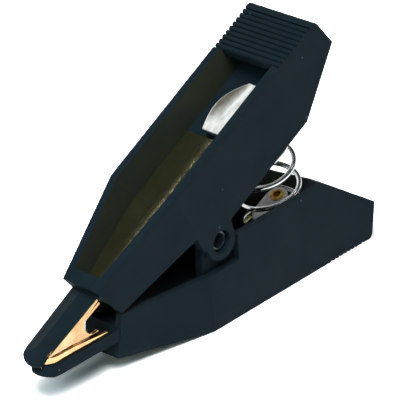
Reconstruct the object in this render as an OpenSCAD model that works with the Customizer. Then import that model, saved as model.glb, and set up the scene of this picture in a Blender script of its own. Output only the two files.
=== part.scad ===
// Kelvin test clip: two identical moulded levers, each with its own plated contact and wire saddle,
// hinged on two short studs and closed by one coil spring. Sizes in millimetres, +Z up.
// The clip lies on the outer flat of its lower lever, nose towards -X, hinge axis along Y.

/* [Lever outline] */
// Width across the two side walls
body_w = 11.4; // [10:0.1:14]
// Thickness of the side walls
wall_t = 1.1; // [0.8:0.05:1.6]
// Hinge axis to the outer corner of the handle end
handle_l = 28.9; // [24:0.1:34]
// How far the inner corner of the handle end stands beyond the outer one
end_lean = 0.75; // [0:0.05:1.5]
// Rounding of the outer corner of the handle end
end_round = 1; // [0.4:0.1:1.6]
// Hinge axis to the start of the tapered nose part
bend_l = 2.7; // [1:0.1:5]
// Hinge axis to the outer shoulder above the finger
shoulder_l = 17.9; // [15:0.1:21]
// Width across the shoulder
shoulder_w = 6.1; // [5:0.1:8]
// How far the shoulder face slopes back towards the inside
nose_slope = 1.3; // [0:0.1:2.5]
// Thickness of the wall that closes the channel at the nose
nose_wall = 1.9; // [1.2:0.1:3]

/* [Lever heights from the hinge axis] */
// Hinge axis to the outer flat
outer_h = 12.2; // [11:0.1:14]
// Hinge axis to the outer edge at the shoulder
shoulder_h = 10; // [9.4:0.1:12]
// Hinge axis to the channel floor
floor_h = 7.3; // [6.5:0.1:8]
// Thickness of the channel floor
web_t = 1.5; // [1.2:0.1:2.5]
// Hinge axis to the inner edge of the walls ahead of the hinge
front_edge_h = 4; // [3.4:0.1:5]
// Hinge axis to the inner edge of the wall that carries the ear
ear_edge_h = 1.3; // [0.8:0.1:2]
// Hinge axis to the inner edge of the wall that carries the lug
lug_edge_h = 0.3; // [0.1:0.1:1]
// Hinge axis to the inner corner of the handle end
end_h = 7.05; // [5.5:0.05:8.5]
// Hinge axis to the corner where the handle end is cut back
cut_l = 20.3; // [16:0.1:24]

/* [Finger pad] */
// Length of the finger pad along the handle
pad_l = 8.4; // [6:0.1:11]
// Thickness of the pad over the wire passage
pad_t = 1.5; // [1:0.1:2.4]
// Number of grip ribs
rib_n = 9; // [5:1:14]
// Spacing of the grip ribs
rib_pitch = 0.78; // [0.6:0.02:1]
// Radius of a grip rib
rib_r = 0.34; // [0.2:0.02:0.45]
// Thickness of the handle end wall
end_t = 1.4; // [1:0.1:2.4]
// Bore of the wire entry in the handle end
wire_d = 2.6; // [1.6:0.1:3.2]

/* [Hinge] */
// Outer radius of the hinge ears
ear_r = 2.55; // [2.2:0.05:3.2]
// Diameter of the hinge studs
stud_d = 3.1; // [2:0.05:3.6]
// Radial running gap of a stud in its ear
stud_gap = 0.04; // [0.02:0.01:0.1]
// Depth of the stud below the outer face of the ear
stud_recess = 0.6; // [0.2:0.05:0.9]
// Diameter of the blind hole in the end of a stud
stud_bore_d = 2.1; // [1.2:0.1:2.2]
// Depth of that hole
stud_bore_l = 1.5; // [0.8:0.1:2]
// Thickness of the inner hinge lug
lug_t = 1.3; // [0.9:0.1:2]
// Side gap between an ear and the lug beside it
lug_gap = 0.12; // [0.05:0.01:0.3]
// Gap between an ear and the wall behind it
ear_clear = 0.4; // [0.2:0.05:0.8]
// Angle between the levers with the jaws shut
shut_angle = 26.2; // [22:0.1:30]

/* [Finger and jaws] */
// Hinge axis to the tip of the finger
tip_l = 29.75; // [28:0.05:32]
// Half width of the finger where it leaves the shoulder
finger_half = 2.65; // [2.3:0.05:2.65]
// Radius of the finger tip seen from above
tip_r = 2.4; // [1.8:0.05:2.5]
// How far the finger stands out towards the skirt side
finger_shift = 0.4; // [0:0.05:0.4]
// Hinge axis to the flat top of the finger
ridge_h = 8.5; // [8.2:0.05:9.5]
// Distance of the ridge from the middle, on the skirt side
ridge_y = 0.6; // [0:0.1:1.2]
// Fall of the finger roof from its ridge to its skirt
roof_fall = 0.9; // [0.4:0.05:0.95]
// Radius of the sweep that carries the roof's slope round the tip
tip_sweep = 5.2; // [4.6:0.1:6]
// Rounding of the tip towards the other finger
tip_round = 0.5; // [0.2:0.05:0.6]
// Height of the plastic lip above the tall jaw
lip_h = 0.15; // [0.1:0.05:0.3]
// Hinge axis to the line where the jaws meet
jaw_h = 5.2; // [4.6:0.05:5.6]
// Gap between the shut jaws
jaw_gap = 0.05; // [0.02:0.01:0.1]
// Thickness of the plastic skirt beside the low jaw
skirt_t = 0.45; // [0.3:0.05:0.6]
// Height of bare metal above the skirt
band_h = 1; // [0.7:0.05:1.3]
// Thickness of the solid plastic tip in front of the low jaw
cap_t = 0.5; // [0.4:0.05:1]
// Hinge axis to the rear end of the low jaw
low_jaw_l = 18.8; // [18.4:0.1:20]
// Hinge axis to the place where the low jaw starts to fall away
level_jaw_l = 24.5; // [23:0.1:26]
// How far the low jaw has fallen away at its rear end
jaw_fall = 0.5; // [0:0.05:0.6]
// Length of the dip at the front end of the low jaw
dip_l = 0.55; // [0.4:0.05:0.9]
// How far the low jaw has dipped at its front end
jaw_dip = 0.6; // [0.4:0.05:0.8]

/* [Contact strip] */
// Thickness of the contact sheet
sheet_t = 0.4; // [0.3:0.05:0.6]
// Gap between the strip and the channel walls
strip_gap = 0.35; // [0.2:0.05:1]
// Hinge axis to the rear edge of the strip in the channel
strip_l = 9.6; // [8.6:0.1:9.8]
// Half width of the neck and of the tongue
neck_half = 1.6; // [1.2:0.1:2]
// Gap left around metal where it passes through the plastic
slot_gap = 0.05; // [0.02:0.01:0.1]
// Length of the slot in the channel floor behind the strip
slot_l = 0.8; // [0.6:0.1:0.9]
// Height of the prong that carries the tall jaw
prong_t = 0.7; // [0.5:0.05:0.9]
// Height of the prong at its rear end
prong_end_t = 0.4; // [0.3:0.05:0.5]
// Radius of the hollow behind the tall jaw
notch_r = 1.55; // [1:0.05:1.6]
// Hinge axis to the centre of that hollow, along the lever
notch_l = 20.2; // [19.8:0.1:21]

/* [Wire saddle] */
// Hinge axis to the middle of the saddle
saddle_mid_l = 15; // [14.9:0.05:15.2]
// Length of the saddle
saddle_l = 8.7; // [7:0.1:8.8]
// Half width of the saddle at its front end
saddle_front_half = 2.4; // [1.4:0.05:2.6]
// Half width of the saddle at its rear end
saddle_tail_half = 0.7; // [0.5:0.05:1.4]
// How far each side of the saddle bulges out in the middle
saddle_bulge = 0.8; // [0.3:0.05:1.2]
// Sheet thickness of the saddle
saddle_t = 0.3; // [0.2:0.05:0.4]
// How far the sides of the saddle curl up in the middle
curl_h = 1; // [0.5:0.05:1.4]
// How far they curl up at the ends
curl_end_h = 0.12; // [0.05:0.01:0.2]

/* [Spring guide and rivet] */
// Hinge axis to the middle of the spring
seat_l = 15.65; // [15.4:0.05:16.2]
// How far the middle of the guide cup lies ahead of the spring's
guide_shift = 0.4; // [0:0.05:0.6]
// Half length of the guide cup
guide_half_l = 2.8; // [2.6:0.05:3]
// Half width of the guide cup
guide_half_w = 1.7; // [1.5:0.05:2]
// Sheet thickness of the guide cup
guide_t = 0.3; // [0.2:0.05:0.4]
// Hinge axis to the closed end of the guide cup, at its middle
guide_h = 2.9; // [2.6:0.1:3.6]
// Slope of that closed end, higher towards the handle
guide_slope = 24; // [10:1:26]
// Distance of the rivet behind the middle of the guide cup
rivet_l = 1.5; // [0.5:0.1:1.6]
// Diameter of the rivet heads
head_d = 1.9; // [1.6:0.1:2]
// Diameter of the rivet shank
shank_d = 1.4; // [1.2:0.1:1.5]
// Bore of the tubular rivet
bore_d = 1; // [0.6:0.1:1]
// Thickness of the rivet heads
head_t = 0.25; // [0.15:0.05:0.35]

/* [Spring] */
// Wire diameter of the spring
wire_t = 0.7; // [0.5:0.05:0.7]
// Radius of the coil at the middle of the wire
coil_r = 4.15; // [4.05:0.05:4.15]
// Free turns of the spring
free_turns = 5; // [3:0.5:6]
// Turns laid flat on each seat
flat_turns = 0.75; // [0.5:0.05:0.75]
// Gap between the spring and its seats
seat_gap = 0.03; // [0.01:0.01:0.06]

/* [Hidden] */
half_w = body_w / 2;
half_shoulder = shoulder_w / 2;
inner_half = half_w - wall_t;
handle_tip_l = handle_l + end_lean;
pad_start = handle_l - pad_l;
web_h = floor_h - web_t;
ear_hole_d = stud_d + 2 * stud_gap;
lug_outer = inner_half - lug_gap;
lug_inner = lug_outer - lug_t;
ear_front = ear_r + ear_clear;
strip_top_h = floor_h + sheet_t;
skirt_h = jaw_h + band_h;
low_jaw_inset = skirt_t + slot_gap;
jaw_root_l = shoulder_l + slot_gap;
cap_l = tip_l - cap_t;
jaw_end_l = cap_l - slot_gap;
tip_edge_h = ridge_h - roof_fall;
skirt_y = finger_half + finger_shift;
ring_r = coil_r;
guide_l = seat_l - guide_shift;
rivet_u = guide_l + rivet_l;
nose_inner_l = shoulder_l - nose_slope;
channel_front_l = shoulder_l - nose_wall;
split_y = 0.15;
tip_centre_l = tip_l - tip_r;
seat_h = web_h;
hinge_z = outer_h;
sin_shut = sin(shut_angle);
cos_shut = cos(shut_angle);
half_open = shut_angle / 2;
dip_end_h = jaw_h + jaw_dip;
tall_end_l = (cap_l - dip_l) * cos_shut + jaw_h * sin_shut;
tall_dip_l = cap_l * cos_shut + dip_end_h * sin_shut;
tall_dip_h = cap_l * sin_shut - dip_end_h * cos_shut + jaw_gap;
tip_margin = 0.05;
roof_run = skirt_y - ridge_y;
tip_top_h = tip_edge_h + roof_fall * tip_margin / roof_run;
upper_reach = tip_l * cos_shut + tip_top_h * sin_shut;
centre_shift = (max(tip_l, upper_reach) - handle_tip_l) / 2;
lap = 0.2;
past_tip_l = tip_l + lap;
round_n = 8;
fine = 48;

// Half width of the lever outline at a distance along the lever, ahead of the hinge negative
function outline_half(u) = u > -bend_l ? half_w
    : half_w - (half_w - half_shoulder) * (-bend_l - u) / (shoulder_l - bend_l);

// Height of the tall jaw edge: the meeting line seen from the other lever
function tall_edge_h(u) = (-jaw_h + jaw_gap - u * sin_shut) / cos_shut;

// Height of the plane where the two tips meet
function tip_plane_h(u) = -u * tan(half_open) + jaw_gap / 2;

// Height of the guide cup's sloped end
function guide_end_h(u) = guide_h - (u - guide_l) * tan(guide_slope);

// Points of a rounded corner between two directions at point c
function corner(c, r, from_a, to_a) = [
    for (i = [0:round_n])
        let (a = from_a + (to_a - from_a) * i / round_n)
        [c[0] + r * cos(a), c[1] + r * sin(a)]
];

// Side profile of a wall: u along the lever, v outwards from the hinge axis
function wall_profile(edge_h, step_u) = concat(
    corner([handle_l - end_round, outer_h - end_round], end_round, 90, 0),
    [
        [handle_tip_l, end_h],
        [cut_l, edge_h],
        [step_u, edge_h],
        [step_u, front_edge_h],
        [-nose_inner_l, front_edge_h],
        [-shoulder_l, shoulder_h],
        [-bend_l, outer_h]
    ]);

// Prism with a side profile given as (u, v), between two y values
module side_prism(points, y_from, y_to) {
    translate([0, y_to, 0])
    rotate([90, 0, 0])
    linear_extrude(height = y_to - y_from)
    polygon([for (p = points) [p[0], -p[1]]]);
}

// Prism with a cross profile given as (y, v), between two u values
module cross_prism(points, u_from, u_to) {
    translate([u_from, 0, 0])
    rotate([90, 0, 90])
    linear_extrude(height = u_to - u_from)
    polygon([for (p = points) [p[0], -p[1]]]);
}

// Box given by its ends along the lever, across it and outwards
module lever_box(u, y, v) {
    translate([u[0], y[0], -v[1]])
    cube([u[1] - u[0], y[1] - y[0], v[1] - v[0]]);
}

// Cylinder along Y at (u, v)
module cross_pin(u, v, d, y_from, y_to) {
    translate([u, y_to, -v])
    rotate([90, 0, 0])
    cylinder(d = d, h = y_to - y_from, $fn = fine);
}

// Lever outline from above, drawn in by an inset
module lever_plan(inset) {
    polygon([
        [handle_tip_l, -half_w + inset], [handle_tip_l, half_w - inset],
        [-bend_l, half_w - inset], [-shoulder_l, half_shoulder - inset],
        [-shoulder_l, -half_shoulder + inset], [-bend_l, -half_w + inset]
    ]);
}

// Finger outline from above, drawn in by an inset
module finger_plan(inset) {
    translate([0, -finger_shift]) {
        polygon([
            [-nose_inner_l, finger_half - inset], [-shoulder_l, finger_half - inset],
            [-tip_centre_l, tip_r - inset], [-tip_centre_l, -tip_r + inset],
            [-shoulder_l, -finger_half + inset], [-nose_inner_l, -finger_half + inset]
        ]);
        translate([-tip_centre_l, 0])
        circle(r = tip_r - inset, $fn = fine);
    }
}

// Band of the finger outline between two insets
module finger_band(inset, thickness) {
    difference() {
        finger_plan(inset);
        finger_plan(inset + thickness);
    }
}

// Guide cup's outline with round ends, grown by a margin
module guide_plan(margin) {
    straight = guide_half_l - guide_half_w;
    for (side = [-1, 1])
        translate([guide_l + side * straight, 0])
        circle(r = guide_half_w + margin, $fn = fine);
    translate([guide_l, 0])
    square([2 * straight, 2 * (guide_half_w + margin)], center = true);
}

// Outline raised between two heights
module raise(v_from, v_to) {
    translate([0, 0, -v_to])
    linear_extrude(height = v_to - v_from)
    children();
}

// Both side walls, each cut to its own profile
module walls() {
    intersection() {
        raise(-ear_r, outer_h)
        difference() {
            lever_plan(0);
            lever_plan(wall_t);
        }
        union() {
            side_prism(wall_profile(ear_edge_h, -ear_front), 0, half_w);
            side_prism(wall_profile(lug_edge_h, ear_front), -half_w, 0);
        }
    }
}

// Channel floor, finger pad, end wall and nose wall, all inside the side walls
module floors() {
    intersection() {
        raise(-ear_r, outer_h)
        lever_plan(wall_t / 2);
        side_prism(wall_profile(ear_edge_h, -ear_front), -half_w, half_w);
        union() {
            lever_box([-shoulder_l, handle_tip_l], [-half_w, half_w], [web_h, floor_h]);
            lever_box([pad_start, handle_tip_l], [-half_w, half_w], [outer_h - pad_t, outer_h]);
            lever_box([handle_l - end_t, handle_tip_l], [-half_w, half_w], [web_h, outer_h]);
            lever_box([-shoulder_l, -channel_front_l], [-half_w, half_w], [web_h, outer_h]);
        }
    }
}

// Grip ribs laid in a shallow bed across the pad
module rib_bed() {
    bed_start = pad_start - lap;
    bed_end = pad_start + rib_n * rib_pitch;
    lever_box([bed_start, bed_end], [-half_w - lap, half_w + lap], [outer_h - rib_r, outer_h + lap]);
}

module ribs() {
    for (i = [0:rib_n - 1])
        cross_pin(pad_start + (i + 0.5) * rib_pitch, outer_h - rib_r, 2 * rib_r, -half_w, half_w);
}

// Outer hinge ear, flush with the wall on the +Y side
module ear() {
    cross_pin(0, 0, 2 * ear_r, inner_half, half_w);
    side_prism([
        [-ear_r, 0], [ear_r, 0], [ear_front, ear_edge_h + lap], [ear_front, front_edge_h + lap],
        [-ear_front, front_edge_h + lap]
    ], inner_half, half_w);
}

// Inner hinge lug beside the wall on the -Y side
module lug() {
    cross_pin(0, 0, 2 * ear_r, -lug_outer, -lug_inner);
    side_prism([
        [-ear_r, 0], [ear_r, 0], [ear_front, web_h + lap], [-ear_front, web_h + lap]
    ], -lug_outer, -lug_inner);
    side_prism([
        [-ear_r, front_edge_h + lap], [ear_r, front_edge_h + lap],
        [ear_front, web_h + lap], [-ear_front, web_h + lap]
    ], -inner_half - wall_t / 2, -lug_inner);
}

// Roofed finger over the contact, with a skirt on the -Y side and a solid tip
module finger() {
    intersection() {
        union() {
            raise(strip_top_h, outer_h)
            finger_plan(sheet_t);
            raise(ridge_h - lip_h, outer_h)
            finger_plan(0);
            intersection() {
                raise(skirt_h, outer_h)
                finger_band(0, skirt_t);
                low_room();
            }
            intersection() {
                raise(0, outer_h)
                finger_plan(0);
                union() {
                    lever_box([-past_tip_l, -cap_l], [-half_w, half_w], [0, outer_h]);
                    lever_box([-past_tip_l, -tall_end_l - slot_gap], [0, half_w], [0, outer_h]);
                }
            }
        }
        cross_prism([
            [-skirt_y, 0], [-skirt_y, tip_edge_h], [-ridge_y, ridge_h],
            [skirt_y, ridge_h], [skirt_y, 0]
        ], -past_tip_l, -nose_inner_l);
        tip_room();
        jaw_room();
    }
}

// Room of the finger where the roof slopes and rounds off round its tip
module tip_room() {
    sweep_l = tip_l + tip_margin - tip_sweep;
    lever_box([-sweep_l, 0], [-half_w, half_w], [0, outer_h]);
    translate([-sweep_l, -finger_shift, 0])
    rotate_extrude($fn = fine)
    polygon(concat(
        [[0, 0], [0, -ridge_h - roof_fall], [tip_sweep - 2 * roof_run, -ridge_h - roof_fall]],
        corner([tip_sweep - tip_round, -tip_edge_h], tip_round, 0, 90),
        [[tip_sweep - tip_round, 0]]));
}

// Room on the -Y side, outside the line where the jaws meet
module low_room() {
    side_prism([
        [0, outer_h], [0, jaw_h], [-jaw_end_l + dip_l, jaw_h], [-jaw_end_l, dip_end_h],
        [-cap_l, tip_plane_h(-cap_l)], [-past_tip_l, tip_plane_h(-past_tip_l)], [-past_tip_l, outer_h]
    ], -half_w, -split_y);
}

// Room on the +Y side that lies outside the other lever's low jaw
module tall_room(y_from) {
    side_prism([
        [0, outer_h], [0, tall_edge_h(-bend_l)], [-bend_l, tall_edge_h(-bend_l)],
        [-tall_end_l, tall_edge_h(-tall_end_l)], [-tall_dip_l, tall_dip_h], [-cap_l, tip_plane_h(-cap_l)],
        [-past_tip_l, tip_plane_h(-past_tip_l)], [-past_tip_l, outer_h]
    ], y_from, half_w);
}

// Room that one lever may fill without touching the other
module jaw_room() {
    low_room();
    tall_room(-split_y);
}

// One moulded lever lying on its outer flat, hinge axis through the origin
module lever() {
    difference() {
        union() {
            difference() {
                union() {
                    walls();
                    floors();
                }
                rib_bed();
            }
            intersection() {
                ribs();
                side_prism(wall_profile(ear_edge_h, -ear_front), -half_w, half_w);
            }
            ear();
            lug();
            finger();
        }
        cross_pin(0, 0, ear_hole_d, inner_half - lap, half_w + lap);
        cross_pin(0, 0, stud_d, -inner_half, -lug_inner + lap);
        metal_room();
        translate([handle_l - end_t - lap, 0, -(floor_h + outer_h - pad_t) / 2])
        rotate([0, 90, 0])
        cylinder(d = wire_d, h = 2 * end_t, $fn = fine);
    }
}

// Slots and seats in the plastic for the metal pieces
module metal_room() {
    slot_half = neck_half + slot_gap;
    slot_y = [-slot_half, slot_half];
    lever_box([-shoulder_l - lap, -channel_front_l + lap], slot_y, [floor_h, strip_top_h + slot_gap]);
    lever_box([strip_l - sheet_t - slot_gap, strip_l + slot_l], slot_y, [web_h - lap, floor_h + lap]);
    lever_box([strip_l, seat_l], slot_y, [web_h - lap, web_h + sheet_t]);
    translate([seat_l, 0, -web_h - sheet_t])
    cylinder(r = ring_r + slot_gap, h = sheet_t + lap, $fn = fine);
    rivet_hole(web_h, floor_h);
    translate([rivet_u, 0, -floor_h - lap])
    cylinder(d = head_d + 2 * slot_gap, h = head_t + lap, $fn = fine);
}

// Hole for the rivet shank between two heights
module rivet_hole(v_from, v_to) {
    translate([rivet_u, 0, -v_to - lap])
    cylinder(d = shank_d + 2 * slot_gap, h = v_to - v_from + 2 * lap, $fn = fine);
}

// Plated contact: strip in the channel, ring tongue under the spring and jaw under the finger
module contact() {
    front_half = outline_half(-channel_front_l) - wall_t - strip_gap;
    rear_half = inner_half - strip_gap;
    neck_y = [-neck_half, neck_half];
    difference() {
        union() {
            raise(floor_h, strip_top_h)
            polygon([
                [strip_l, rear_half], [-bend_l, rear_half],
                [-channel_front_l + slot_gap, front_half], [-channel_front_l + slot_gap, -front_half],
                [-bend_l, -rear_half], [strip_l, -rear_half]
            ]);
            lever_box([-jaw_root_l - lap, -channel_front_l + lap], neck_y, [floor_h, strip_top_h]);
            lever_box([strip_l - sheet_t, strip_l], neck_y, [web_h, strip_top_h]);
            lever_box([strip_l - sheet_t, seat_l], neck_y, [web_h, web_h + sheet_t]);
            translate([seat_l, 0, -web_h - sheet_t])
            cylinder(r = ring_r, h = sheet_t, $fn = fine);
            jaw();
        }
        raise(web_h - lap, floor_h)
        guide_plan(slot_gap);
    }
}

// Jaw: base sheet, tall fish-tail flange on the +Y side, low flange on the -Y side
module jaw() {
    tall_top_h = ridge_h - lip_h - slot_gap;
    prong_h = tall_top_h - prong_t;
    prong_end_h = tall_top_h - prong_end_t;
    intersection() {
        raise(floor_h, strip_top_h) {
            finger_plan(low_jaw_inset);
            intersection() {
                finger_plan(0);
                translate([-tip_l, 0])
                square([tip_l, half_w]);
            }
        }
        union() {
            lever_box([-jaw_end_l, -jaw_root_l], [-half_w, -split_y], [0, outer_h]);
            lever_box([-tall_end_l + slot_gap, -jaw_root_l], [-split_y, half_w], [0, outer_h]);
        }
        jaw_room();
    }
    difference() {
        intersection() {
            raise(0, tall_top_h)
            finger_band(0, sheet_t - slot_gap);
            tall_room(split_y);
            lever_box([-tall_end_l + slot_gap, -jaw_root_l], [split_y, half_w], [0, outer_h]);
        }
        cross_pin(-notch_l, prong_h - notch_r, 2 * notch_r, 0, half_w);
        side_prism([
            [-notch_l, 0], [-notch_l, prong_h], [-jaw_root_l, prong_end_h], [0, prong_end_h], [0, 0]
        ], 0, half_w);
    }
    intersection() {
        raise(jaw_h, strip_top_h)
        finger_band(low_jaw_inset, sheet_t);
        side_prism([
            [-jaw_end_l, strip_top_h], [-jaw_end_l, dip_end_h], [-jaw_end_l + dip_l, jaw_h],
            [-level_jaw_l, jaw_h], [-low_jaw_l, jaw_h + jaw_fall], [-low_jaw_l, strip_top_h]
        ], -half_w, -split_y);
    }
}

// Open saddle for the wire end: a sheet with flat ends whose sides curl up in the middle
saddle_rows = 24;
saddle_columns = 12;
function saddle_half(s) = saddle_front_half * (1 - s) + saddle_tail_half * s + saddle_bulge * sin(180 * s);
function saddle_curl(s) = curl_end_h + (curl_h - curl_end_h) * sin(180 * s);
function saddle_point(i, j, lift) = let (
    s = i / saddle_rows,
    across = 2 * j / saddle_columns - 1
) [
    saddle_mid_l + saddle_l * (s - 0.5),
    saddle_half(s) * across,
    -floor_h - saddle_curl(s) * across * across - lift
];

module saddle() {
    row = saddle_columns + 1;
    top = row * (saddle_rows + 1);
    points = concat(
        [for (i = [0:saddle_rows]) for (j = [0:saddle_columns]) saddle_point(i, j, 0)],
        [for (i = [0:saddle_rows]) for (j = [0:saddle_columns]) saddle_point(i, j, saddle_t)]);
    skins = [for (i = [0:saddle_rows - 1]) for (j = [0:saddle_columns - 1])
        let (a = i * row + j, b = a + row)
        each [
            [a, b, b + 1], [a, b + 1, a + 1],
            [top + a, top + b + 1, top + b], [top + a, top + a + 1, top + b + 1]
        ]];
    sides = [for (i = [0:saddle_rows - 1]) for (j = [0, saddle_columns])
        let (a = i * row + j, b = a + row)
        j == 0 ? [a, top + a, top + b, b] : [a, b, top + b, top + a]];
    ends = [for (j = [0:saddle_columns - 1]) for (i = [0, saddle_rows])
        let (a = i * row + j)
        i == 0 ? [a, a + 1, top + a + 1, top + a] : [a, top + a, top + a + 1, a + 1]];
    polyhedron(points = points, faces = concat(skins, sides, ends), convexity = 4);
}

// Guide cup for the spring, its open end on the channel floor's inner side
module guide() {
    foot_h = web_h + sheet_t;
    difference() {
        guide_body(0, 0, foot_h);
        guide_body(-guide_t, guide_t, foot_h + lap);
        rivet_hole(0, web_h);
    }
}

// Guide cup's outline raised from its sloped end, set back by a sheet's thickness for the inside
module guide_body(margin, set_back, v_to) {
    front_u = guide_l - guide_half_l - lap;
    rear_u = guide_l + guide_half_l + lap;
    drop = set_back / cos(guide_slope);
    intersection() {
        raise(0, v_to)
        guide_plan(margin);
        side_prism([
            [front_u, v_to], [front_u, guide_end_h(front_u) + drop],
            [rear_u, guide_end_h(rear_u) + drop], [rear_u, v_to]
        ], -half_w, half_w);
    }
}

// Tubular rivet from a flush head under the saddle to a set head on the guide cup's sloped end
module rivet() {
    set_h = guide_end_h(rivet_u);
    translate([rivet_u, 0, 0])
    difference() {
        union() {
            raise(floor_h - head_t, floor_h)
            circle(d = head_d, $fn = fine);
            raise(set_h, floor_h)
            circle(d = shank_d, $fn = fine);
            set_head();
        }
        raise(0, floor_h + lap)
        circle(d = bore_d, $fn = fine);
    }
}

// Set head of the rivet, square to the guide cup's sloped end
module set_head() {
    translate([0, 0, -guide_end_h(rivet_u)])
    rotate([0, -guide_slope, 0])
    cylinder(d = head_d, h = head_t, $fn = fine);
}

// Hinge stud pressed in the lug and running in the other lever's ear
module stud() {
    stud_end = half_w - stud_recess;
    chamfer = stud_recess / 2;
    difference() {
        union() {
            cross_pin(0, 0, stud_d, -stud_end + chamfer, -lug_inner);
            translate([0, -stud_end + chamfer, 0])
            rotate([90, 0, 0])
            cylinder(d1 = stud_d, d2 = stud_d - 2 * chamfer, h = chamfer, $fn = fine);
        }
        cross_pin(0, 0, stud_bore_d, -stud_end - lap, -stud_end + stud_bore_l);
    }
}

// Places of the two halves
module lower_half() {
    translate([centre_shift, 0, hinge_z])
    children();
}

module upper_half() {
    translate([centre_shift, 0, hinge_z])
    rotate([0, -shut_angle, 0])
    rotate([180, 0, 0])
    children();
}

// Spring: a helix that fans from the lower seat to the upper one
fan_l = seat_h / tan(half_open);
fan_r = seat_l + fan_l;
wire_r = wire_t / 2;
seat_lift = wire_r + seat_gap;
all_turns = free_turns + 2 * flat_turns;
steps = 36 * all_turns;
sides = 12;
rise_a = 132;
function rise(t) = min(1, max(0, (t - flat_turns) / free_turns));
function spring_point(i, j) = let (
    t = all_turns * i / steps,
    turn = rise_a + 360 * (t - flat_turns),
    fan = shut_angle * rise(t),
    a = 360 * j / sides,
    r = fan_r + (coil_r + wire_r * cos(a)) * cos(turn),
    y = (coil_r + wire_r * cos(a)) * sin(turn),
    lift = seat_lift * (1 - 2 * rise(t)) + wire_r * sin(a)
) [
    r * cos(fan) - lift * sin(fan) - fan_l,
    y,
    r * sin(fan) + lift * cos(fan) - seat_h
];

module spring_wire() {
    points = [for (i = [0:steps]) for (j = [0:sides - 1]) spring_point(i, j)];
    skin = [for (i = [0:steps - 1]) for (j = [0:sides - 1]) [
        i * sides + j, i * sides + (j + 1) % sides,
        (i + 1) * sides + (j + 1) % sides, (i + 1) * sides + j
    ]];
    first_cap = [for (j = [0:sides - 1]) sides - 1 - j];
    last_cap = [for (j = [0:sides - 1]) steps * sides + j];
    polyhedron(points = points, faces = concat(skin, [first_cap, last_cap]), convexity = 10);
}

module lower_lever() {
    color([0.13, 0.15, 0.17])
    lower_half()
    lever();
}

module upper_lever() {
    color([0.13, 0.15, 0.17])
    upper_half()
    lever();
}

module lower_contact() {
    color([0.83, 0.62, 0.22])
    lower_half()
    contact();
}

module upper_contact() {
    color([0.83, 0.62, 0.22])
    upper_half()
    contact();
}

module lower_saddle() {
    color([0.78, 0.78, 0.76])
    lower_half()
    saddle();
}

module upper_saddle() {
    color([0.78, 0.78, 0.76])
    upper_half()
    saddle();
}

module lower_guide() {
    color([0.76, 0.76, 0.74])
    lower_half()
    guide();
}

module upper_guide() {
    color([0.76, 0.76, 0.74])
    upper_half()
    guide();
}

module lower_rivet() {
    color([0.72, 0.55, 0.25])
    lower_half()
    rivet();
}

module upper_rivet() {
    color([0.72, 0.55, 0.25])
    upper_half()
    rivet();
}

module near_stud() {
    color([0.10, 0.11, 0.12])
    lower_half()
    stud();
}

module far_stud() {
    color([0.10, 0.11, 0.12])
    upper_half()
    stud();
}

module spring() {
    color([0.80, 0.81, 0.82])
    lower_half()
    spring_wire();
}

lower_lever();
upper_lever();
lower_contact();
upper_contact();
lower_saddle();
upper_saddle();
lower_guide();
upper_guide();
lower_rivet();
upper_rivet();
near_stud();
far_stud();
spring();
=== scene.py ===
"""Looks of a kelvin test clip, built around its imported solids. Metres, +Z up."""

import math

import bmesh
import bpy
from mathutils import Matrix, Vector

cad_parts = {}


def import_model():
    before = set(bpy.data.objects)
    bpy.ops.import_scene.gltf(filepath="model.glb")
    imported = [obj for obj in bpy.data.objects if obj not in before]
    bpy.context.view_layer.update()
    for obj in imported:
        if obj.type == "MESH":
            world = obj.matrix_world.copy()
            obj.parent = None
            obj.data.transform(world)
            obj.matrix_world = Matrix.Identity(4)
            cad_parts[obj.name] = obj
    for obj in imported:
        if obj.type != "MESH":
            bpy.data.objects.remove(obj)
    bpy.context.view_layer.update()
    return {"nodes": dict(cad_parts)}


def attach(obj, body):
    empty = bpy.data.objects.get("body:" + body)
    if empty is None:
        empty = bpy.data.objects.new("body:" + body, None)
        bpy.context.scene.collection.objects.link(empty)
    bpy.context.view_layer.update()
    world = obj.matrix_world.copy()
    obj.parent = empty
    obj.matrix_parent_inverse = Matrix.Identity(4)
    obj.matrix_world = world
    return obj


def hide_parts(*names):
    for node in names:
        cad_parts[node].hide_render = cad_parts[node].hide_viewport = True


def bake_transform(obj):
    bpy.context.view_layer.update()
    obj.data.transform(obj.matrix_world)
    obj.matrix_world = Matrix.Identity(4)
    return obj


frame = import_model()
NODES = frame["nodes"]

MM = 0.001
# A point of the hinge axis, which lies along Y, and the angle between the levers of the shut clip.
HINGE = Vector((0.203495 * MM, 0.0, 12.2 * MM))
SHUT = math.radians(26.2)
COS_SHUT = math.cos(SHUT)
SIN_SHUT = math.sin(SHUT)


def lower_point(u, y, v):
    """Point of the lower lever: u along the handle, v outwards from the hinge axis, in millimetres."""
    return HINGE + Vector((u, y, -v)) * MM


def upper_point(u, y, v):
    """The same place on the upper lever, which is the lower one turned over."""
    return HINGE + Vector((u * COS_SHUT - v * SIN_SHUT, -y, u * SIN_SHUT + v * COS_SHUT)) * MM


PLACES = {"lower": lower_point, "upper": upper_point}


def linear(red, green, blue):
    """Linear colour from 0-255 display values, by the sRGB curve."""
    def channel(value):
        share = value / 255
        return share / 12.92 if share <= 0.04045 else ((share + 0.055) / 1.055) ** 2.4
    return (channel(red), channel(green), channel(blue), 1.0)


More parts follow.
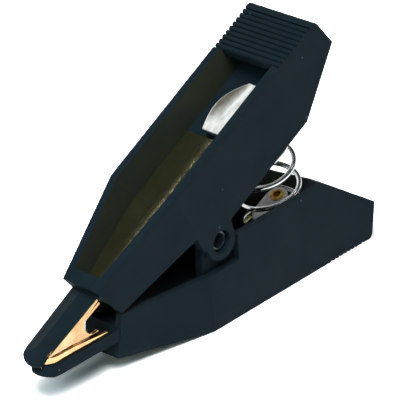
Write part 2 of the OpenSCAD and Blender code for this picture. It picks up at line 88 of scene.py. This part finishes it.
class Nodes:
    """Short calls for the nodes and links of one shader tree."""

    ramp_shape = "LINEAR"

    def __init__(self, tree):
        self.tree = tree

    def add(self, kind, **settings):
        node = self.tree.nodes.new(kind)
        for key, value in settings.items():
            setattr(node, key, value)
        return node

    def link(self, source, target):
        self.tree.links.new(source, target)

    def fill(self, socket, value):
        """Links another node's output to a socket, or sets the socket to a plain value."""
        if isinstance(value, bpy.types.NodeSocket):
            self.link(value, socket)
        else:
            socket.default_value = value

    def math(self, operation, first, second=0.0):
        node = self.add("ShaderNodeMath", operation=operation)
        self.fill(node.inputs[0], first)
        self.fill(node.inputs[1], second)
        return node.outputs["Value"]

    def axes(self, vector):
        """The outputs X, Y and Z of a vector."""
        node = self.add("ShaderNodeSeparateXYZ")
        self.link(vector, node.inputs["Vector"])
        return node.outputs

    def ramp(self, value, start, end, low=0.0, high=1.0):
        """Low where the value is at start or before it, high at end or past it, and a ramp between."""
        node = self.add("ShaderNodeMapRange", interpolation_type=self.ramp_shape)
        limits = {"From Min": start, "From Max": end, "To Min": low, "To Max": high}
        for name, number in limits.items():
            node.inputs[name].default_value = number
        self.link(value, node.inputs["Value"])
        return node.outputs["Result"]


class Material(Nodes):
    """A principled material, with calls for textures that lie fixed on the object."""

    # Places of a Mix node's colour sockets, whose names its sockets for other values share.
    mix_first = 6
    mix_second = 7
    mix_result = 2

    def __init__(self, name):
        self.material = bpy.data.materials.new(name)
        self.material.use_nodes = True
        super().__init__(self.material.node_tree)
        self.shader = self.tree.nodes["Principled BSDF"]
        coordinates = self.add("ShaderNodeTexCoord")
        self.coords = coordinates.outputs["Object"]
        self.facing = coordinates.outputs["Normal"]

    def put(self, **values):
        """Fills inputs of the shader, with an underscore for each space in their names."""
        for key, value in values.items():
            self.fill(self.shader.inputs[key.replace("_", " ")], value)

    def stretched(self, scale):
        node = self.add("ShaderNodeMapping")
        node.inputs["Scale"].default_value = scale
        self.link(self.coords, node.inputs["Vector"])
        return node.outputs["Vector"]

    def noise(self, scale, detail=2.0, rough=0.5, vector=None):
        node = self.add("ShaderNodeTexNoise")
        node.inputs["Scale"].default_value = scale
        node.inputs["Detail"].default_value = detail
        node.inputs["Roughness"].default_value = rough
        self.link(vector or self.coords, node.inputs["Vector"])
        return node.outputs["Fac"]

    def specks(self, scale, size, share, vector=None):
        """Small round specks, 1 inside, on a share of the cells of a grid."""
        cells = self.add("ShaderNodeTexVoronoi")
        cells.inputs["Scale"].default_value = scale
        self.link(vector or self.coords, cells.inputs["Vector"])
        inside = self.math("LESS_THAN", cells.outputs["Distance"], size)
        split = self.add("ShaderNodeSeparateColor")
        self.link(cells.outputs["Color"], split.inputs["Color"])
        chosen = self.math("LESS_THAN", split.outputs["Red"], share)
        return self.math("MULTIPLY", inside, chosen)

    def mix(self, share, first, second):
        """The first colour where the share is 0, the second where it is 1."""
        node = self.add("ShaderNodeMix", data_type="RGBA")
        self.link(share, node.inputs["Factor"])
        self.fill(node.inputs[self.mix_first], first)
        self.fill(node.inputs[self.mix_second], second)
        return node.outputs[self.mix_result]

    def bump(self, height, strength, distance, below=None):
        """Normal of a bump over another normal. The distance is in millimetres."""
        node = self.add("ShaderNodeBump")
        node.inputs["Strength"].default_value = strength
        node.inputs["Distance"].default_value = distance * MM
        self.link(height, node.inputs["Height"])
        if below is not None:
            self.link(below, node.inputs["Normal"])
        return node.outputs["Normal"]

    def inward(self):
        """Below zero on side faces that look towards the middle plane, above zero on outer ones."""
        side = self.math("SIGN", self.axes(self.coords)["Y"])
        return self.math("MULTIPLY", side, self.axes(self.facing)["Y"])


# Where most values of a noise lie, and the same range with a little more left at its low end.
NOISE_RANGE = (0.3, 0.7)
STAIN_RANGE = (0.35, 0.7)
# The noise values between which a raised spot on the gold starts, and between which the saddle's tin is worn.
SPOT_RANGE = (0.66, 0.74)
WORN_RANGE = (0.42, 0.68)
# The values of inward() at which a face counts in full, and no longer, as an inner wall of a lever, which
# gets a painted reflection, and as a curled side of the saddle, which gets painted shade.
INNER_WALL = (-0.85, -0.55)
CURLED_SIDE = (-0.57, -0.25)
# How much of their own colour dust and lint show.
DIRT_SHARE = 0.4
# X of a contact where its jaw passes into its strip.
STRIP_START = (-18.6 * MM, -17.4 * MM)
# Distances from the middle of a contact between which its flecks grow stronger, as painted glints along the
# edges.
GLINT_EDGE = (0.4 * MM, 1.6 * MM)


def plastic_material():
    """Matt plastic with a little dust and lint, and a lighter olive colour on the inner walls that is a
    painted reflection of the gold strips and painted light.
    """
    made = Material("lever_plastic")
    broad = made.ramp(made.noise(scale=140, detail=3.0, rough=0.6), *NOISE_RANGE)
    outside = made.mix(broad, linear(23, 35, 42), linear(29, 41, 47))
    # Lighter olive for faces that look towards the middle: painted reflection of the gold strips and painted
    # light.
    inside = made.mix(broad, linear(58, 63, 51), linear(50, 55, 49))
    tone = made.mix(made.ramp(made.inward(), *INNER_WALL, low=1.0, high=0.0), outside, inside)
    dust = made.specks(scale=900, size=0.13, share=0.016)
    lint = made.specks(scale=240, size=0.045, share=0.10, vector=made.stretched((1.0, 1.0, 2.6)))
    dirt = made.math("MULTIPLY", made.math("MAXIMUM", dust, lint), DIRT_SHARE)
    rub = made.noise(scale=420, detail=4.0, rough=0.65)
    grain = made.bump(made.noise(scale=5200, rough=0.6), strength=0.10, distance=0.04)
    made.put(
        Base_Color=made.mix(dirt, tone, linear(124, 135, 144)),
        Roughness=made.ramp(rub, *NOISE_RANGE, low=0.48, high=0.56),
        Normal=made.bump(made.noise(scale=300), strength=0.03, distance=0.2, below=grain),
        Specular_IOR_Level=0.03,
    )
    return made.material


def gold_material(name, light, dark):
    """Bright gold on the jaw, a pale film on the strip in the channel, and flecks that are partly real specks
    and, stronger towards the edges, painted glints.
    """
    made = Material(name)
    place = made.axes(made.coords)
    stain = made.ramp(made.noise(scale=260, detail=4.0, rough=0.6), *STAIN_RANGE)
    bright = made.mix(stain, light, dark)
    film = made.mix(stain, linear(240, 236, 188), linear(216, 208, 158))
    tone = made.mix(made.ramp(place["X"], *STRIP_START), bright, film)
    # Flecks all over are specks on the gold; their growth towards the edges is painted glints.
    edge = made.ramp(made.math("ABSOLUTE", place["Y"]), *GLINT_EDGE, low=0.15, high=0.9)
    speck_and_glint = made.math("MULTIPLY", made.specks(scale=900, size=0.22, share=0.16), edge)
    streak = made.noise(scale=1500, detail=3.0, rough=0.6, vector=made.stretched((0.12, 1.0, 1.0)))
    rolled = made.bump(streak, strength=0.38, distance=0.08)
    spots = made.ramp(made.noise(scale=2400, detail=1.0, rough=0.4), *SPOT_RANGE)
    spotted = made.bump(spots, strength=0.08, distance=0.04, below=rolled)
    waves = made.noise(scale=330, detail=1.0, rough=0.4)
    made.put(
        Base_Color=made.mix(speck_and_glint, tone, linear(250, 218, 130)),
        Metallic=0.988,
        Roughness=made.ramp(streak, *NOISE_RANGE, low=0.02, high=0.06),
        Normal=made.bump(waves, strength=0.06, distance=0.5, below=spotted),
    )
    return made.material


def guide_material():
    """Tin with faint drawing marks."""
    made = Material("guide_tin")
    stain = made.ramp(made.noise(scale=420, detail=4.0, rough=0.6), *STAIN_RANGE)
    drawn = made.noise(scale=1800, detail=3.0, rough=0.6, vector=made.stretched((0.2, 1.0, 1.0)))
    made.put(
        Base_Color=made.mix(stain, linear(228, 227, 222), linear(198, 196, 190)),
        Metallic=0.38,
        Roughness=made.ramp(drawn, *NOISE_RANGE, low=0.14, high=0.30),
        Normal=made.bump(drawn, strength=0.015, distance=0.04),
    )
    return made.material


def saddle_material():
    """Tin with a painted highlight along the bottom and on the edges, and painted shade on the inner faces of
    the curled sides.
    """
    made = Material("saddle_tin")
    # Inner faces of the curled sides get painted shade; the bottom and the edges keep a bright painted
    # highlight.
    painted_shade_share = made.ramp(made.inward(), *CURLED_SIDE, low=1.0, high=0.0)
    drawn = made.noise(scale=1100, detail=3.0, rough=0.6, vector=made.stretched((0.22, 1.0, 1.0)))
    worn = made.ramp(drawn, *WORN_RANGE)
    painted_highlight_tone = made.mix(worn, linear(255, 255, 252), linear(212, 209, 201))
    # Grey-brown film: painted shade on the curled sides.
    film = made.mix(worn, linear(131, 128, 116), linear(93, 89, 79))
    made.put(
        Base_Color=made.mix(painted_shade_share, painted_highlight_tone, film),
        Metallic=made.ramp(painted_shade_share, 0.0, 1.0, low=0.17, high=0.45),
        Roughness=made.ramp(drawn, *NOISE_RANGE, low=0.16, high=0.22),
        Normal=made.bump(made.noise(scale=420), strength=0.25, distance=0.3),
    )
    return made.material


def brass_material():
    """Brass with a little tarnish."""
    made = Material("rivet_brass")
    tarnish = made.ramp(made.noise(scale=900, detail=4.0, rough=0.6), *STAIN_RANGE)
    made.put(
        Base_Color=made.mix(tarnish, linear(214, 180, 84), linear(176, 122, 58)),
        Metallic=1.0,
        Roughness=made.ramp(made.noise(scale=2500), *NOISE_RANGE, low=0.22, high=0.4),
    )
    return made.material


def steel_material():
    """Bright drawn wire."""
    made = Material("spring_steel")
    tone = made.ramp(made.noise(scale=700, detail=3.0, rough=0.6), *STAIN_RANGE)
    drawn = made.noise(scale=700, rough=0.6, vector=made.stretched((1.0, 1.0, 0.3)))
    made.put(
        Base_Color=made.mix(tone, linear(228, 230, 232), linear(192, 196, 199)),
        Metallic=1.0,
        Roughness=made.ramp(drawn, *NOISE_RANGE, low=0.13, high=0.17),
        Normal=made.bump(drawn, strength=0.01, distance=0.03),
    )
    return made.material


def stud_material():
    """Plastic that is glossier than the levers, and lighter than them as painted light in the dark hole of
    the ear.
    """
    made = Material("stud_plastic")
    tone = made.ramp(made.noise(scale=500, detail=3.0, rough=0.6), *STAIN_RANGE)
    made.put(
        # Lighter than the lever plastic: painted light in the hole.
        Base_Color=made.mix(tone, linear(32, 43, 50), linear(41, 52, 58)),
        Roughness=made.ramp(made.noise(scale=1400, detail=3.0), *NOISE_RANGE, low=0.14, high=0.32),
        Normal=made.bump(made.noise(scale=900), strength=0.12, distance=0.1),
        Specular_IOR_Level=0.5,
    )
    return made.material


SADDLE_TIN = saddle_material()
STEEL = steel_material()
KIND_MATERIALS = {
    "lever": plastic_material(),
    # The lower contact's gold is a lit copy, brighter as painted light.
    "contact": gold_material("contact_gold", linear(251, 210, 156), linear(220, 161, 105)),
    "saddle": SADDLE_TIN,
    "guide": guide_material(),
    "rivet": brass_material(),
    "stud": stud_material(),
    "spring": STEEL,
}
OWN_MATERIALS = {
    # The upper contact's gold is a darker copy of the same gold: painted shade.
    "upper_contact": gold_material("contact_gold_shaded_copy", linear(226, 194, 147), linear(192, 142, 93)),
}

# Widths of the rounded edges, in millimetres. The other kinds have pieces below that stand for them.
EDGE_ROUND = {"lever": 0.10, "contact": 0.05, "guide": 0.12, "rivet": 0.08, "stud": 0.05}
SHEET_ROUND = 0.06
# An edge is rounded where its faces differ by more than this, in degrees.
SOLID_EDGE_ANGLE = 28
SHEET_EDGE_ANGLE = 50
ROUND_SEGMENTS = 2
WELD_REACH = 0.001 * MM


def round_edges(piece, width, angle):
    bevel = piece.modifiers.new("edges", "BEVEL")
    bevel.width = width * MM
    bevel.segments = ROUND_SEGMENTS
    bevel.limit_method = "ANGLE"
    bevel.angle_limit = math.radians(angle)


def dress(node, material, rounding):
    """Gives a solid its material and, where its kind has them, small rounded edges."""
    node.data.materials.clear()
    node.data.materials.append(material)
    if rounding is None:
        return
    weld = node.modifiers.new("weld", "WELD")
    weld.merge_threshold = WELD_REACH
    round_edges(node, rounding, SOLID_EDGE_ANGLE)


for name, node in NODES.items():
    kind = name.split("_")[-1]
    dress(node, OWN_MATERIALS.get(name, KIND_MATERIALS[kind]), EDGE_ROUND.get(kind))


def mesh_piece(name, points, faces, material):
    """A smooth mesh object with its faces turned outwards."""
    mesh = bpy.data.meshes.new(name)
    mesh.from_pydata([tuple(p) for p in points], [], faces)
    mesh.update()
    made = bmesh.new()
    made.from_mesh(mesh)
    bmesh.ops.recalc_face_normals(made, faces=made.faces)
    made.to_mesh(mesh)
    made.free()
    for face in mesh.polygons:
        face.use_smooth = True
    mesh.materials.append(material)
    piece = bpy.data.objects.new(name, mesh)
    bpy.context.scene.collection.objects.link(piece)
    return piece


def spring_piece():
    """The coil spring as a fine round wire that fans from the lower seat to the upper one, in millimetres."""
    # Middle of a seat, along the handle and outwards from the hinge axis, and the wire's gap to it.
    seat_l = 15.65
    seat_h = 5.8
    gap = 0.03
    coil_r = 4.15
    wire_r = 0.35
    # Turns that rise from seat to seat, turns that lie on each seat, and where the wire leaves the lower one.
    free = 5.0
    flat = 0.75
    rise_angle = 132.0
    # Steps along each turn, and sides round the wire.
    steps_a_turn = 72
    sides = 20
    # The planes of the seats meet in a line ahead of the hinge, and the wire fans about that line.
    fan_l = seat_h / math.tan(SHUT / 2)
    fan_r = seat_l + fan_l
    turns = free + 2 * flat
    steps = int(steps_a_turn * turns)
    points = []
    faces = []
    for i in range(steps + 1):
        wound = turns * i / steps
        share = min(1.0, max(0.0, (wound - flat) / free))
        turn = math.radians(rise_angle + 360 * (wound - flat))
        fan = SHUT * share
        for j in range(sides):
            angle = 2 * math.pi * j / sides
            radius = coil_r + wire_r * math.cos(angle)
            reach = fan_r + radius * math.cos(turn)
            lift = (wire_r + gap) * (1 - 2 * share) + wire_r * math.sin(angle)
            points.append(HINGE + Vector((
                reach * math.cos(fan) - lift * math.sin(fan) - fan_l,
                radius * math.sin(turn),
                reach * math.sin(fan) + lift * math.cos(fan) - seat_h)) * MM)
    for i in range(steps):
        for j in range(sides):
            k = (j + 1) % sides
            faces.append((i * sides + j, i * sides + k, (i + 1) * sides + k, (i + 1) * sides + j))
    faces.append(tuple(range(sides - 1, -1, -1)))
    faces.append(tuple(range(steps * sides, (steps + 1) * sides)))
    piece = mesh_piece("spring_wire", points, faces, STEEL)
    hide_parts("spring")
    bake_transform(piece)


spring_piece()


def saddle_piece(body):
    """The saddle as a smooth sheet, in millimetres: almost flat ends, sides that curl up in the middle."""
    # Middle and length along the handle, half widths at both ends, and how far the sides swell.
    mid_l = 15.0
    length = 8.7
    front_half = 2.4
    tail_half = 0.7
    bulge = 0.8
    # Hinge axis to the channel floor, the sheet's thickness, and its curl in the middle and at the ends.
    floor_h = 7.3
    sheet = 0.3
    curl = 1.0
    end_curl = 0.12
    rows = 64
    columns = 28
    points = []
    faces = []
    for lift in (0.0, sheet):
        for i in range(rows + 1):
            share = i / rows
            swell = math.sin(math.pi * share)
            half = front_half * (1 - share) + tail_half * share + bulge * swell
            along = mid_l + length * (share - 0.5)
            for j in range(columns + 1):
                across = 2 * j / columns - 1
                rise = (end_curl + (curl - end_curl) * swell) * across * across
                points.append(PLACES[body](along, half * across, floor_h + rise + lift))
    # Both sides of the sheet are grids with the same order of points, and a strip of faces closes each edge.
    row = columns + 1
    top = row * (rows + 1)
    for i in range(rows):
        for j in range(columns):
            first = i * row + j
            faces.append((first, first + 1, first + row + 1, first + row))
            faces.append((top + first, top + first + row, top + first + row + 1, top + first + 1))
    for i in range(rows):
        for j in (0, columns):
            first = i * row + j
            faces.append((first, first + row, top + first + row, top + first))
    for j in range(columns):
        for i in (0, rows):
            first = i * row + j
            faces.append((first, top + first, top + first + 1, first + 1))
    piece = mesh_piece(f"{body}_saddle_sheet", points, faces, SADDLE_TIN)
    round_edges(piece, SHEET_ROUND, SHEET_EDGE_ANGLE)
    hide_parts(f"{body}_saddle")
    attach(piece, body)


for body in PLACES:
    saddle_piece(body)


def camera():
    """The photograph's view, fitted to the edges of both levers, with the focal length in pixels."""
    target = Vector((2.28 * MM + HINGE.x, 0.0, 15.62 * MM))
    distance = 0.520
    azimuth = math.radians(-44.5)
    elevation = math.radians(27.7)
    roll = math.radians(-5.01)
    focal_pixels = 3977.0
    picture_pixels = 400.0
    sensor = 36.0
    back = Vector((
        math.cos(elevation) * math.sin(azimuth),
        -math.cos(elevation) * math.cos(azimuth),
        math.sin(elevation)))
    level = Vector((math.cos(azimuth), math.sin(azimuth), 0.0))
    up = back.cross(level)
    right = math.cos(roll) * level + math.sin(roll) * up
    top = -math.sin(roll) * level + math.cos(roll) * up
    data = bpy.data.cameras.new("camera")
    data.sensor_width = sensor
    data.lens = focal_pixels / picture_pixels * sensor
    data.clip_start = 0.01
    data.clip_end = 20.0
    made = bpy.data.objects.new("camera", data)
    place = Matrix((right, top, back)).transposed().to_4x4()
    place.translation = target + back * distance
    made.matrix_world = place
    bpy.context.scene.collection.objects.link(made)
    bpy.context.scene.camera = made


class Surround(Nodes):
    """Shader of the floor or the world, with one answer each for the camera, for mirrors and for light."""

    ramp_shape = "SMOOTHSTEP"

    def __init__(self, owner):
        owner.use_nodes = True
        super().__init__(owner.node_tree)
        self.tree.nodes.clear()

    def shader(self, kind, colour):
        node = self.add(kind)
        node.inputs["Color"].default_value = (*colour, 1)
        return node.outputs[0]

    def shining(self, kind, colour, strength):
        shader = self.shader(kind, colour)
        self.fill(shader.node.inputs["Strength"], strength)
        return shader

    def mix(self, share, first, second):
        """The first shader where the share is 0, the second where it is 1."""
        node = self.add("ShaderNodeMixShader")
        self.link(share, node.inputs["Fac"])
        self.link(first, node.inputs[1])
        self.link(second, node.inputs[2])
        return node.outputs[0]

    def finish(self, kind, seen, mirrored, plain):
        """Ends the tree with the shaders for the camera, for mirrors and glass, and for all other light."""
        path = self.add("ShaderNodeLightPath").outputs
        glossy = self.math("MAXIMUM", path["Is Glossy Ray"], path["Is Transmission Ray"])
        surface = self.mix(path["Is Camera Ray"], self.mix(glossy, plain, mirrored), seen)
        self.link(surface, self.add(kind).inputs["Surface"])


WHITE = (1.0, 1.0, 1.0)
COOL = (0.80, 0.97, 1.0)

# Colours of the floor for the light that it throws back, in mirrors, and to the camera.
FLOOR_PLAIN = (0.90, 0.905, 0.91)
FLOOR_MIRRORED = (1.62, 1.64, 1.645)
FLOOR_SEEN = (2.35, 2.375, 2.39)
FLOOR_HALF = 3.0
FLOOR_DROP = 0.02 * MM
# Distances from the middle between which the floor turns plain white to the camera and in mirrors.
FLOOR_FAR = (0.11, 0.22)

# The world in mirrors: its strengths, and the directions in which the ceiling and the backdrop start.
SURROUND = 1.05
CEILING = 0.05
CEILING_START = (0.12, 0.42)
BACKDROP_START = (0.64, 0.70)
MIRROR_TINT = (0.99, 1.0, 0.98)
# The world's light: its strength all round, and what the near side adds low down.
DOME = 0.048
NEAR_SIDE = 0.112
NEAR_SIDE_START = (-0.30, -0.75)
NEAR_SIDE_TOP = (0.30, 0.65)

LAMP_TARGET = Vector((0, 0, 0.012))


def floor():
    """A pale table with the shadow on it. To the camera and in mirrors it is white around that."""
    mesh = bpy.data.meshes.new("floor")
    half = FLOOR_HALF
    corners = [(-half, -half, 0), (half, -half, 0), (half, half, 0), (-half, half, 0)]
    mesh.from_pydata(corners, [], [(0, 1, 2, 3)])
    made = bpy.data.objects.new("floor", mesh)
    made.location.z = -FLOOR_DROP
    bpy.context.scene.collection.objects.link(made)
    material = bpy.data.materials.new("floor")
    tree = Surround(material)
    reach = tree.add("ShaderNodeVectorMath", operation="LENGTH")
    tree.link(tree.add("ShaderNodeTexCoord").outputs["Object"], reach.inputs["Vector"])
    far = tree.ramp(reach.outputs["Value"], *FLOOR_FAR)
    white = tree.shining("ShaderNodeEmission", WHITE, 1.0)
    tree.finish(
        "ShaderNodeOutputMaterial",
        seen=tree.mix(far, tree.shader("ShaderNodeBsdfDiffuse", FLOOR_SEEN), white),
        mirrored=tree.mix(far, tree.shader("ShaderNodeBsdfDiffuse", FLOOR_MIRRORED), white),
        plain=tree.shader("ShaderNodeBsdfDiffuse", FLOOR_PLAIN),
    )
    mesh.materials.append(material)


def world():
    """White for the camera; for mirrors a white surround under a dark ceiling; for the rest a soft dome."""
    made = bpy.data.worlds.new("studio")
    tree = Surround(made)
    direction = tree.axes(tree.add("ShaderNodeTexCoord").outputs["Generated"])
    across = direction["Y"]
    height = direction["Z"]
    low = tree.ramp(height, *CEILING_START, low=SURROUND, high=CEILING)
    behind = tree.ramp(across, *BACKDROP_START, low=CEILING, high=SURROUND)
    near_side = tree.ramp(across, *NEAR_SIDE_START, low=0.0, high=NEAR_SIDE)
    below = tree.ramp(height, *NEAR_SIDE_TOP, low=1.0, high=0.0)
    light = tree.math("ADD", tree.math("MULTIPLY", near_side, below), DOME)
    tree.finish(
        "ShaderNodeOutputWorld",
        seen=tree.shining("ShaderNodeBackground", WHITE, 1.0),
        mirrored=tree.shining("ShaderNodeBackground", MIRROR_TINT, tree.math("MAXIMUM", low, behind)),
        plain=tree.shining("ShaderNodeBackground", COOL, light),
    )
    bpy.context.scene.world = made


def lamp(name, place, size, power, colour, mirrored):
    """A soft lamp that looks at the object and shows in mirrors or not."""
    data = bpy.data.lights.new(name, "AREA")
    data.color = colour
    data.shape = "RECTANGLE"
    data.size, data.size_y = size
    data.energy = power
    made = bpy.data.objects.new(name, data)
    made.location = place
    made.rotation_mode = "QUATERNION"
    made.rotation_quaternion = (LAMP_TARGET - Vector(place)).to_track_quat("-Z", "Y")
    made.visible_glossy = mirrored
    bpy.context.scene.collection.objects.link(made)


camera()
floor()
world()
lamp("key", place=(-0.185, -0.195, 0.525), size=(0.32, 0.32), power=3.04, colour=WHITE, mirrored=False)
lamp("fill", place=(-0.45, -0.06, 0.33), size=(0.30, 0.24), power=0.88, colour=COOL, mirrored=False)
lamp("glint", place=(0.20, -0.10, 0.45), size=(0.06, 0.06), power=0.05, colour=WHITE, mirrored=True)

bpy.context.scene.view_settings.view_transform = "Standard"
